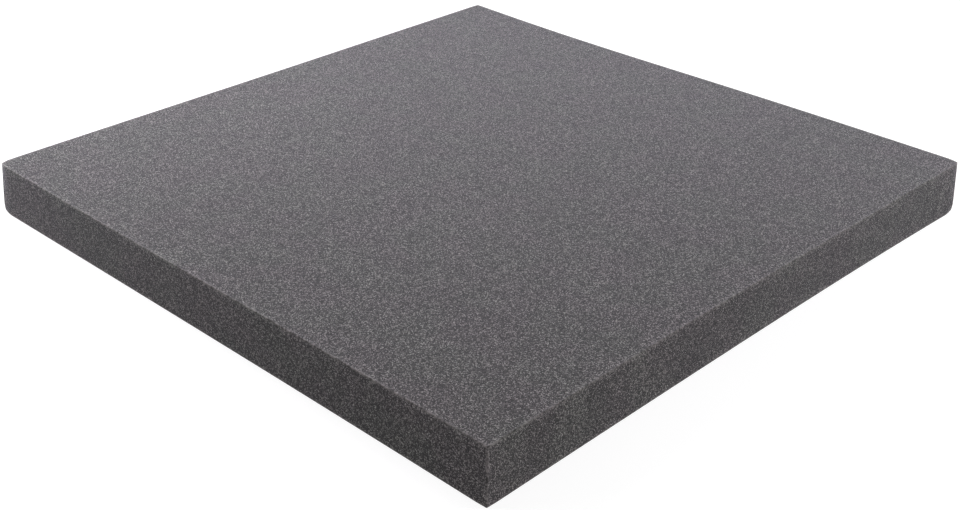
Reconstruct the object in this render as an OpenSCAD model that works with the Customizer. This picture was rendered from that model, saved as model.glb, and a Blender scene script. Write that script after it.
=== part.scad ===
// Square pad of open-cell foam for lining a tray or a box.
// Crosses are slit right through it on a square raster. The foam left whole between their tips holds the
// cubes together until some are plucked out to make a pocket.

/* [Pad] */
// Side of the pad from left to right
pad_w = 295; // [150:1:340]
// Side of the pad from front to back
pad_d = 295; // [150:1:340]
// Thickness of the foam sheet that the pad is cut from
pad_h = 24; // [10:1:60]
// Radius that the saw leaves on the four upright corners
corner_r = 1; // [0.4:0.2:3]

/* [Pluck raster] */
// Pitch of the crosses, and so the side of one cube
pitch = 10; // [9.5:0.5:30]
// Foam left whole between the tips of two neighbouring crosses
bridge = 2; // [1:0.1:4]
// How far a slit stands open at the middle of its cross, closing to nothing at the tips
slit_gap = 0.3; // [0.2:0.05:0.8]
// Distance from the left face to the first column of crosses
column_inset = 6; // [5:0.5:12]
// Distance from the front face to the first row of crosses
row_inset = 9; // [5:0.5:12]

/* [Hidden] */
$fn = 48;

// Length of one arm of a cross, from its middle to its tip.
arm = (pitch - bridge) / 2;

// Middles of the columns and rows, as far as an arm still reaches into the pad.
column_x = [for (x = column_inset; x < pad_w + arm; x = x + pitch) x - pad_w / 2];
row_y = [for (y = row_inset; y < pad_d + arm; y = y + pitch) y - pad_d / 2];

// One slit cross seen from above: a star with four long points, widest where the two cuts meet.
module slit_cross() {
    polygon([
        for (quarter = [0, 90, 180, 270]) each [
            arm * [cos(quarter), sin(quarter)],
            slit_gap / 2 * [cos(quarter + 45), sin(quarter + 45)]
        ]
    ]);
}

// Every cross of the raster. Those at the far edges reach past the pad's outline.
module pluck_raster() {
    for (x = column_x, y = row_y)
        translate([x, y]) slit_cross();
}

// The pad seen from above, with its four corners rounded.
module pad_outline() {
    square([pad_w, pad_d - 2 * corner_r], center = true);
    square([pad_w - 2 * corner_r, pad_d], center = true);
    for (side_x = [-1, 1], side_y = [-1, 1])
        translate([side_x * (pad_w / 2 - corner_r), side_y * (pad_d / 2 - corner_r)])
            circle(r = corner_r);
}

module foam_pad() {
    color([0.44, 0.435, 0.445])
        linear_extrude(height = pad_h)
            difference() {
                pad_outline();
                pluck_raster();
            }
}

foam_pad();
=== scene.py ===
import math

import bpy
import numpy as np
from mathutils import Matrix, Vector


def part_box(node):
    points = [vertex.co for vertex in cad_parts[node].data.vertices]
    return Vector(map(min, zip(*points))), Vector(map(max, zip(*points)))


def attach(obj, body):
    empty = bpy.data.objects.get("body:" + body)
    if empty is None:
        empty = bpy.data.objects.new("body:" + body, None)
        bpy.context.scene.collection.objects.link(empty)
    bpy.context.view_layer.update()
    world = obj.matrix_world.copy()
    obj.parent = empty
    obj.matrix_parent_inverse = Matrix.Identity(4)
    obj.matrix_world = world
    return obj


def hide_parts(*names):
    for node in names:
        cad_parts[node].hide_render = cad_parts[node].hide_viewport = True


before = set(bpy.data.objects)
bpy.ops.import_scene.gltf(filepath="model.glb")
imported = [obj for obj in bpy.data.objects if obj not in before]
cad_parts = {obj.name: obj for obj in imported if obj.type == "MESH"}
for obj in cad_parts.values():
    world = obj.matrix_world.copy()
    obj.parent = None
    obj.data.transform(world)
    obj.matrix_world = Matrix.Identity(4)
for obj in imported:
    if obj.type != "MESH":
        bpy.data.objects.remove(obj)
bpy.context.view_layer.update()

millimetre = 0.001
print("frame loaded")


# A number, colour or vector in a material or world; each operator adds a Math node.
class Value:
    def __init__(self, paint, socket):
        self.paint = paint
        self.socket = socket

    def maths(self, operation, first, second=0.0):
        return self.paint.value("ShaderNodeMath", {"operation": operation}, {0: first, 1: second})

    def __add__(self, other):
        return self.maths("ADD", self, other)

    def __radd__(self, other):
        return self.maths("ADD", other, self)

    def __sub__(self, other):
        return self.maths("SUBTRACT", self, other)

    def __rsub__(self, other):
        return self.maths("SUBTRACT", other, self)

    def __mul__(self, other):
        return self.maths("MULTIPLY", self, other)

    def __rmul__(self, other):
        return self.maths("MULTIPLY", other, self)

    def __truediv__(self, other):
        return self.maths("DIVIDE", self, other)

    def __rtruediv__(self, other):
        return self.maths("DIVIDE", other, self)

    def __pow__(self, other):
        return self.maths("POWER", self, other)

    def __rpow__(self, other):
        return self.maths("POWER", other, self)

    # The larger of two numbers.
    def larger(self, other):
        return self.maths("MAXIMUM", self, other)

    # 1 above a limit and 0 below it.
    def above(self, limit):
        return self.maths("GREATER_THAN", self, limit)

    # The distance to the nearest whole multiple of a pitch.
    def toNearest(self, pitch):
        return self.maths("PINGPONG", self, pitch / 2)

    # 0 at low and 1 at high, with an S curve between; low may be the larger of the two.
    def smooth(self, low, high):
        if low > high:
            return 1 - self.smooth(high, low)
        reach = {"Value": self, "From Min": low, "From Max": high}
        return self.paint.value("ShaderNodeMapRange", {"interpolation_type": "SMOOTHSTEP"}, reach)


# The nodes of a material or a world, with one method that adds any node.
class Paint:
    def __init__(self, holder):
        self.holder = holder
        holder.use_nodes = True
        self.tree = holder.node_tree
        self.tree.nodes.clear()

    def node(self, kind, settings=None, inputs=None):
        made = self.tree.nodes.new(kind)
        for key, setting in (settings or {}).items():
            setattr(made, key, setting)
        for key, given in (inputs or {}).items():
            if isinstance(given, Value):
                self.tree.links.new(given.socket, made.inputs[key])
            else:
                made.inputs[key].default_value = given
        return made

    def value(self, kind, settings=None, inputs=None, output=0):
        return Value(self, self.node(kind, settings, inputs).outputs[output])

    # The place on the object, in metres from its origin.
    def place(self):
        return self.value("ShaderNodeTexCoord", output="Object")

    # A colour between two colours, or the first of them tinted by the second.
    def mix(self, amount, first, second, blend="MIX"):
        settings = {"data_type": "RGBA", "blend_type": blend}
        # a Mix node's colours are its sockets 6 and 7, and its output 2
        return self.value("ShaderNodeMix", settings, {0: amount, 6: first, 7: second}, 2)


padShape = {
    "pitch": 10.0,           # mm between neighbouring slit crosses
    "bridge": 2.0,           # mm of whole foam between their tips
    "columnInset": 6.0,      # mm from the left face to the first column of crosses
    "rowInset": 9.0,         # mm from the front face to the first row
    "slitHalfWidth": 0.015,  # mm that a slit stands open to each side
    "slitDepth": 0.3,        # mm down to where its lips meet
    "edgeRadius": 0.3,       # mm of rounding on every cut edge
    # mm in from an edge, where the mesh has lines
    "edgeLines": (0.0, 0.12, 0.25, 0.45, 0.8, 1.6, 3.0),
    "wallEdgeLines": 6,      # how many of those lines a side wall has, at its top and at its foot
    "wallLines": 5,          # further lines up a side wall
    # mm by which a side wall stands out (+) or in (-) along its top and its foot, from left to right
    # or front to back: its first end, its last end, then waves of one, two and three half turns
    "frontTop": (0.0, 0.1, 0.0, 0.2, 0.0),
    "frontFoot": (0.25, 0.35, -0.2, 0.05, 0.0),
    "rightTop": (0.8, 1.1, -0.05, -0.25, 0.1),
    "rightFoot": (0.75, 1.3, -0.45, 0.15, 0.0),
    "backTop": (1.3, 0.0, -0.5, -0.9, -0.1),
    "backFoot": (0.0, 0.2, -0.3, -0.5, 0.0),
    "leftTop": (0.0, 0.1, -0.2, 0.0, 0.1),
    "leftFoot": (1.4, 0.0, -0.2, 0.0, 0.0),
    "endPower": 5,           # the larger, the nearer to its end the stand-out of an end stays
    "wallPower": 6,          # the larger, the nearer to its wall the stand-out of a wall stays
    # mm by which an upright edge is worn in at its top and at its foot; the edges are named by
    # 0 for left or 1 for right, then 0 for front or 1 for back
    "cornerWear": {(0, 0): (1.0, 0.8), (1, 0): (0.0, 0.2), (1, 1): (0.8, 0.8), (0, 1): (0.2, 0.3)},
    "wearReach": 3.0,        # mm from such an edge to where the wear has faded
    "footReach": 1.5,        # mm above the foot to where the wear of the foot has faded
}
slitArm = (padShape["pitch"] - padShape["bridge"]) / 2  # mm from the middle of a cross to a tip
padLow, padHigh = (np.array(corner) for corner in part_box("foam_pad"))
padSize = (padHigh - padLow) / millimetre  # width, depth and height in mm


# Middles of the crosses along one side, a pitch apart, as far as an arm still reaches into the pad.
def crossMiddles(length, inset):
    return np.arange(inset, length + slitArm, padShape["pitch"])


# Where the mesh has lines along one side, in mm: at each slit, its two lips and its tips, and close
# to both edges.
def meshLines(length, middles):
    lip = padShape["slitHalfWidth"]
    slits = (middles[:, None] + [-slitArm, -lip, 0.0, lip, slitArm]).ravel()
    edges = np.array(padShape["edgeLines"])
    inner = slits[(slits > edges[-1]) & (slits < length - edges[-1])]
    return np.unique(np.concatenate([inner, edges, length - edges]).round(4))


# The four corners of each cell of a grid of point numbers, anticlockwise.
def quads(grid):
    corners = [grid[:-1, :-1], grid[1:, :-1], grid[1:, 1:], grid[:-1, 1:]]
    return np.stack(corners, -1).reshape(-1, 4)


# A box of grids: the underside, the top and a band of walls that shares their outlines.
# Returns the sharp-edged box's points in mm from its lowest corner, and its four-sided faces.
def boxOfGrids(xs, ys, zs):
    nx, ny, nz = len(xs), len(ys), len(zs)
    flat = np.arange(nx * ny).reshape(nx, ny)
    x, y = np.meshgrid(xs, ys, indexing="ij")
    under = np.stack([x, y, np.full_like(x, zs[0])], -1).reshape(-1, 3)
    top = np.stack([x, y, np.full_like(x, zs[-1])], -1).reshape(-1, 3)

    # the outline's places in the grid, anticlockwise from the front left corner
    acrossX = np.arange(nx)
    alongY = np.arange(1, ny - 1)
    i = np.concatenate([acrossX, np.full(ny - 2, nx - 1), acrossX[::-1], np.zeros(ny - 2, int)])
    j = np.concatenate([np.zeros(nx, int), alongY, np.full(nx, ny - 1), alongY[::-1]])

    # the band between them has the same outline at each height
    level = (nz - 2, len(i))
    band = [np.broadcast_to(line, level) for line in (xs[i], ys[j], zs[1:-1, None])]
    band = np.stack(band, -1).reshape(-1, 3)
    ring = 2 * nx * ny + np.arange(len(band)).reshape(level)
    wall = np.vstack([flat[i, j], ring, nx * ny + flat[i, j]])
    closed = np.hstack([wall, wall[:, :1]]).T
    faces = np.vstack([quads(flat)[:, ::-1], quads(flat + nx * ny), quads(closed)])
    return np.vstack([under, top, band]), faces


# How far a slit has opened at each point of the sharp box: 1 at the middle of a cross, and evenly
# less along its arms to 0 at the tips.
def slitOpening(points, columns, rows):
    toColumn = np.abs(points[:, :1] - columns).min(1)
    toRow = np.abs(points[:, 1:2] - rows).min(1)
    onLine = 1e-3  # mm
    alongColumn = np.where(toColumn < onLine, 1 - toRow / slitArm, 0)
    alongRow = np.where(toRow < onLine, 1 - toColumn / slitArm, 0)
    return np.clip(np.maximum(alongColumn, alongRow), 0, 1)


# How far a line along a wall stands out, in mm, at each place from 0 to 1 along it: what each of its
# ends stands out, fading by a power of the place, plus sine waves of one, two and three half turns.
def wander(heights, place):
    first, last, *waves = heights
    ends = first * (1 - place) ** padShape["endPower"] + last * place ** padShape["endPower"]
    return ends + sum(wave * np.sin((n + 1) * np.pi * place) for n, wave in enumerate(waves))


# How far a wall stands out, in mm: evenly from the line of its foot to the line of its top.
def standOut(wall, place, up):
    return (1 - up) * wander(padShape[wall + "Foot"], place) + up * wander(padShape[wall + "Top"], place)


# The pad: a sharp box of grids, with its edges rounded, its slits pushed in and its walls moved.
def makePad():
    columns = crossMiddles(padSize[0], padShape["columnInset"])
    rows = crossMiddles(padSize[1], padShape["rowInset"])
    wallEdges = np.array(padShape["edgeLines"][:padShape["wallEdgeLines"]])
    between = np.linspace(0, padSize[2], padShape["wallLines"] + 2)[1:-1]
    heights = np.unique(np.concatenate([wallEdges, padSize[2] - wallEdges, between]).round(4))
    sharp, faces = boxOfGrids(meshLines(padSize[0], columns), meshLines(padSize[1], rows), heights)

    # rounded edges: each point is put a radius away from the nearest point of a box that much smaller
    radius = padShape["edgeRadius"]
    core = np.clip(sharp, radius, padSize - radius)
    outward = sharp - core
    outward /= np.linalg.norm(outward, axis=1, keepdims=True)
    points = core + radius * outward

    # slits: their middle lines are pushed in
    opening = slitOpening(sharp, columns, rows)
    points -= outward * (padShape["slitDepth"] * opening)[:, None]

    # walls that stand out: each fades over the pad to the opposite wall
    across, along, up = (points / padSize).T
    right, left = (standOut(wall, along, up) for wall in ("right", "left"))
    back, front = (standOut(wall, across, up) for wall in ("back", "front"))
    power = padShape["wallPower"]
    points[:, 0] += right * across ** power - left * (1 - across) ** power
    points[:, 1] += back * along ** power - front * (1 - along) ** power

    # worn upright edges: a bell curve around each, drawn in towards the pad's middle
    for (side, end), (topWear, footWear) in padShape["cornerWear"].items():
        away = np.hypot(sharp[:, 0] - side * padSize[0], sharp[:, 1] - end * padSize[1])
        worn = topWear * up + footWear * np.exp(-sharp[:, 2] / padShape["footReach"])
        worn *= np.exp(-(away / padShape["wearReach"]) ** 2)
        points[:, 0] += worn * (1 - 2 * side)
        points[:, 1] += worn * (1 - 2 * end)

    mesh = bpy.data.meshes.new("foamPad")
    mesh.from_pydata(padLow + points * millimetre, [], faces)

    # how far each point is from the nearest cut edge, in mm, for the material
    gap = np.sort(np.minimum(sharp, padSize - sharp), axis=1)[:, 1]
    edgeGap = mesh.attributes.new("edgeGap", "FLOAT", "POINT")
    edgeGap.data.foreach_set("value", gap.astype(np.float32))
    pad = bpy.data.objects.new("foamPad", mesh)
    bpy.context.collection.objects.link(pad)
    print("pad:", len(points), "points,", len(faces), "faces")
    return pad


foamLook = {
    "cell": 0.33,                          # mm across one cell of the foam
    "pore": (0.006, 0.0058, 0.0058, 1.0),  # colour down in an open cell
    "strut": (0.366, 0.347, 0.337, 1.0),   # colour of the skeleton between cells
    "strutReach": (0.2, 0.02),             # cells in from a cell's wall: where a strut begins and is full
    "paleness": 5.5,                       # a power: the larger, the fewer cells are pale
    "skeleton": 0.12,                      # the skeleton's share of the paleness, the rest is the cells'
    "relief": 0.15,                        # mm from a strut down into a cell
    "reliefStrength": 0.6,                 # share of that relief that the light shows
    "tintPatch": 22.0,                     # mm across a patch of a slightly different tint
    "tintDetail": 1.0,                     # how ragged the patches are
    "tintNoise": (0.35, 0.65),             # the noise at which a patch is fully cool and fully warm
    "cool": (0.985, 1.01, 0.985, 1.0),     # what each tint multiplies the colour by
    "warm": (1.02, 0.985, 1.01, 1.0),
    "edgeHighlight": 0.25,                      # painted highlight where a cut edge catches the light: how much paler the cells near it are
    "edgeHighlightReach": (2.6, 0.4),               # mm in from the edge: where that begins and is full
    "fringeHighlight": 0.52,                        # paleness of the painted highlight on the edge itself, broken into tufts
    "fringeHighlightReach": (1.1, 0.2),             # mm in from the edge: where that painted highlight begins and is full
    "fringeHighlightCover": 0.8,                    # how far that painted highlight hides the cells below it
    "fray": 1.1,                           # mm between the tufts of that painted highlight
    "frayNoise": (0.25, 0.75),             # the noise at which there is no tuft and a full one
    "slitShade": 0.18,                     # how much darker the foam is beside a slit
    "slitReach": 0.8,                      # mm from the slit to where that ends
    "roughness": 0.95,
    "specular": 0.1,                       # a low level, as foam has no gloss
    "sheen": 0.35,                         # the pale bloom of a surface seen at a low angle
    "sheenRoughness": 0.4,
    "sheenTint": (0.86, 0.85, 0.96, 1.0),
}


# The scale at which a texture's pattern is so many mm across.
def scaleOf(across):
    return 1 / (across * millimetre)


def foamMaterial():
    paint = Paint(bpy.data.materials.new("openCellFoam"))
    place = paint.place()

    # the cells are Voronoi cells that the surface cuts open: each has its own paleness, and a skeleton
    # around it
    cells = {"Vector": place, "Scale": scaleOf(foamLook["cell"])}
    cellColour = paint.value("ShaderNodeTexVoronoi", {"feature": "F1"}, cells, "Color")
    cellTone = paint.value("ShaderNodeSeparateColor", inputs={"Color": cellColour})
    toWall = paint.value("ShaderNodeTexVoronoi", {"feature": "DISTANCE_TO_EDGE"}, cells)
    skeleton = toWall.smooth(*foamLook["strutReach"])
    tone = cellTone ** foamLook["paleness"]
    paleness = skeleton * foamLook["skeleton"] + tone * (1 - foamLook["skeleton"])

    # painted highlight: along the cut edges, where they catch the light, the cells are paler, and the
    # edge itself has a pale band broken into tufts
    edgeGap = paint.value("ShaderNodeAttribute", {"attribute_name": "edgeGap"}, output="Fac")
    paleness = paleness * (1 + edgeGap.smooth(*foamLook["edgeHighlightReach"]) * foamLook["edgeHighlight"])
    fringeHighlight = edgeGap.smooth(*foamLook["fringeHighlightReach"])
    fray = {"Vector": place, "Scale": scaleOf(foamLook["fray"])}
    tufts = paint.value("ShaderNodeTexNoise", inputs=fray).smooth(*foamLook["frayNoise"])
    fringeHighlightPaleness = tufts * foamLook["fringeHighlight"]
    paleness = paleness * (1 - foamLook["fringeHighlightCover"] * fringeHighlight) + fringeHighlight * fringeHighlightPaleness
    base = paint.mix(paleness, foamLook["pore"], foamLook["strut"])

    # beside the slits the foam is a little darker, most of all where two of them cross; no cross lies
    # just outside the front face, where the pitch alone would put one
    apart = paint.node("ShaderNodeSeparateXYZ", inputs={"Vector": place})
    x = (Value(paint, apart.outputs["X"]) - float(padLow[0])) / millimetre - padShape["columnInset"]
    y = (Value(paint, apart.outputs["Y"]) - float(padLow[1])) / millimetre - padShape["rowInset"]
    toColumn = x.toNearest(padShape["pitch"])
    toRow = y.toNearest(padShape["pitch"])
    onRows = y.above(-padShape["pitch"] / 2)
    alongColumn = toColumn.smooth(foamLook["slitReach"], 0) * toRow.smooth(slitArm, 0) * onRows
    alongRow = toRow.smooth(foamLook["slitReach"], 0) * toColumn.smooth(slitArm, 0)
    shade = 1 - alongColumn.larger(alongRow) * foamLook["slitShade"]
    base = paint.mix(shade, (0, 0, 0, 1), base)

    # broad patches of a slightly different tint
    patches = {"Vector": place, "Scale": scaleOf(foamLook["tintPatch"]), "Detail": foamLook["tintDetail"]}
    warmth = paint.value("ShaderNodeTexNoise", inputs=patches).smooth(*foamLook["tintNoise"])
    tint = paint.mix(warmth, foamLook["cool"], foamLook["warm"])
    colour = paint.mix(1.0, base, tint, "MULTIPLY")

    # the pale parts stand highest
    bump = paint.value("ShaderNodeBump", inputs={
        "Strength": foamLook["reliefStrength"],
        "Distance": foamLook["relief"] * millimetre,
        "Height": paleness,
    })
    surface = paint.value("ShaderNodeBsdfPrincipled", inputs={
        "Base Color": colour,
        "Roughness": foamLook["roughness"],
        "Specular IOR Level": foamLook["specular"],
        "Sheen Weight": foamLook["sheen"],
        "Sheen Roughness": foamLook["sheenRoughness"],
        "Sheen Tint": foamLook["sheenTint"],
        "Normal": bump,
    })
    paint.node("ShaderNodeOutputMaterial", inputs={"Surface": surface})
    return paint.holder


pad = makePad()
pad.data.materials.append(foamMaterial())
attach(pad, "root")
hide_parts("foam_pad")
print("foam pad finished")


studio = {
    "white": (1, 1, 1, 1),
    "floorSize": 6.0,          # m
    "floorColour": (0.35, 0.35, 0.35, 1.0),
    "floorGlow": 0.79,         # the white that is seen on top of the lit floor, close to the pad
    "whiteFrom": (0.35, 0.8),  # m from the pad's middle over which that rises to 1
    "worldLight": 0.3,         # strength of the light from all round, which is itself seen as white
}


# 1 for what the camera sees, straight, in a reflection or through glass, and 0 for what lights a surface.
def seenRays(paint):
    rays = paint.node("ShaderNodeLightPath").outputs
    straight = Value(paint, rays["Is Camera Ray"])
    reflected = Value(paint, rays["Is Glossy Ray"])
    through = Value(paint, rays["Is Transmission Ray"])
    return straight.larger(reflected).larger(through)


# The floor: the lamps light it, so it shows the pad's shadow, and what is seen of it also glows white.
def makeFloor():
    half = studio["floorSize"] / 2
    corners = [(-half, -half, 0), (half, -half, 0), (half, half, 0), (-half, half, 0)]
    mesh = bpy.data.meshes.new("studioFloor")
    mesh.from_pydata(corners, [], [(0, 1, 2, 3)])
    floor = bpy.data.objects.new("studioFloor", mesh)
    bpy.context.collection.objects.link(floor)

    paint = Paint(bpy.data.materials.new("paleFloor"))
    away = paint.value("ShaderNodeVectorMath", {"operation": "LENGTH"}, {0: paint.place()}, "Value")
    glow = studio["floorGlow"] + away.smooth(*studio["whiteFrom"]) * (1 - studio["floorGlow"])
    shine = {"Color": studio["white"], "Strength": seenRays(paint) * glow}
    lit = paint.value("ShaderNodeBsdfDiffuse", inputs={"Color": studio["floorColour"]})
    white = paint.value("ShaderNodeEmission", inputs=shine)
    both = paint.value("ShaderNodeAddShader", inputs={0: lit, 1: white})
    paint.node("ShaderNodeOutputMaterial", inputs={"Surface": both})
    mesh.materials.append(paint.holder)


def makeWorld():
    paint = Paint(bpy.data.worlds.new("softStudio"))
    strength = studio["worldLight"] + seenRays(paint) * (1 - studio["worldLight"])
    light = paint.value("ShaderNodeBackground", inputs={"Color": studio["white"], "Strength": strength})
    paint.node("ShaderNodeOutputWorld", inputs={"Surface": light})
    bpy.context.scene.world = paint.holder


warmWhite = (1.0, 0.985, 0.975)
coolWhite = (1.0, 0.985, 1.035)
# Each softbox: its place, the place it is aimed at, its size in m, its power in W and its colour.
softboxes = {
    "lowLeft": ((-0.5, -0.7, 0.25), (0, 0, 0), 0.4, 2.6, warmWhite),
    "lowRight": ((0.7, 0.5, 0.25), (0, 0, 0), 0.4, 3.4, warmWhite),
    "frontRight": ((0.36, -0.19, 0.06), (0.15, -0.12, 0.01), 0.08, 0.06, warmWhite),
    "nearLeft": ((-0.3, -0.1, 0.25), (-0.15, -0.05, 0), 0.3, 0.8, coolWhite),
    "backLeft": ((-0.9, 0.0, 0.6), (0, 0, 0), 0.6, 9.0, coolWhite),
    "backRight": ((0.45, 0.8, 0.4), (0, 0, 0), 0.5, 4.1, coolWhite),
}


def makeSoftboxes():
    for name, (place, aim, size, power, colour) in softboxes.items():
        lamp = bpy.data.lights.new(name, "AREA")
        lamp.shape = "SQUARE"
        lamp.size = size
        lamp.energy = power
        lamp.color = colour
        box = bpy.data.objects.new(name, lamp)
        bpy.context.collection.objects.link(box)
        box.location = place
        box.rotation_euler = (Vector(aim) - Vector(place)).to_track_quat("-Z", "Y").to_euler()


cameraView = {
    "azimuth": 44.36,      # degrees round from the front
    "elevation": 28.49,    # degrees above the horizon
    "roll": 0.18,          # degrees about its own line of sight
    "distance": 0.6128,    # m
    "shiftAside": (0.02846, -0.02876, 0.0),  # m by which it is moved off the pad's middle
    "focal": 54.95,        # mm
    "sensor": 36.0,        # mm wide
}


# The camera stands back from the pad's middle and faces it, rolled a little, and is then moved aside.
def makeCamera():
    azimuth, elevation, roll = (math.radians(cameraView[key]) for key in ("azimuth", "elevation", "roll"))
    level = Vector((math.cos(azimuth), math.sin(azimuth), 0))
    back = Vector((math.sin(azimuth), -math.cos(azimuth), math.tan(elevation))).normalized()
    upright = back.cross(level)
    right = level * math.cos(roll) + upright * math.sin(roll)
    up = upright * math.cos(roll) - level * math.sin(roll)
    lens = bpy.data.cameras.new("camera")
    lens.lens = cameraView["focal"]
    lens.sensor_width = cameraView["sensor"]
    camera = bpy.data.objects.new("camera", lens)
    bpy.context.collection.objects.link(camera)
    turned = Matrix((right, up, back)).transposed().to_4x4()
    place = back * cameraView["distance"] + Vector(cameraView["shiftAside"])
    camera.matrix_world = Matrix.Translation(place) @ turned
    bpy.context.scene.camera = camera


makeFloor()
makeWorld()
makeSoftboxes()
makeCamera()
bpy.context.scene.view_settings.view_transform = "Standard"
print("studio finished")
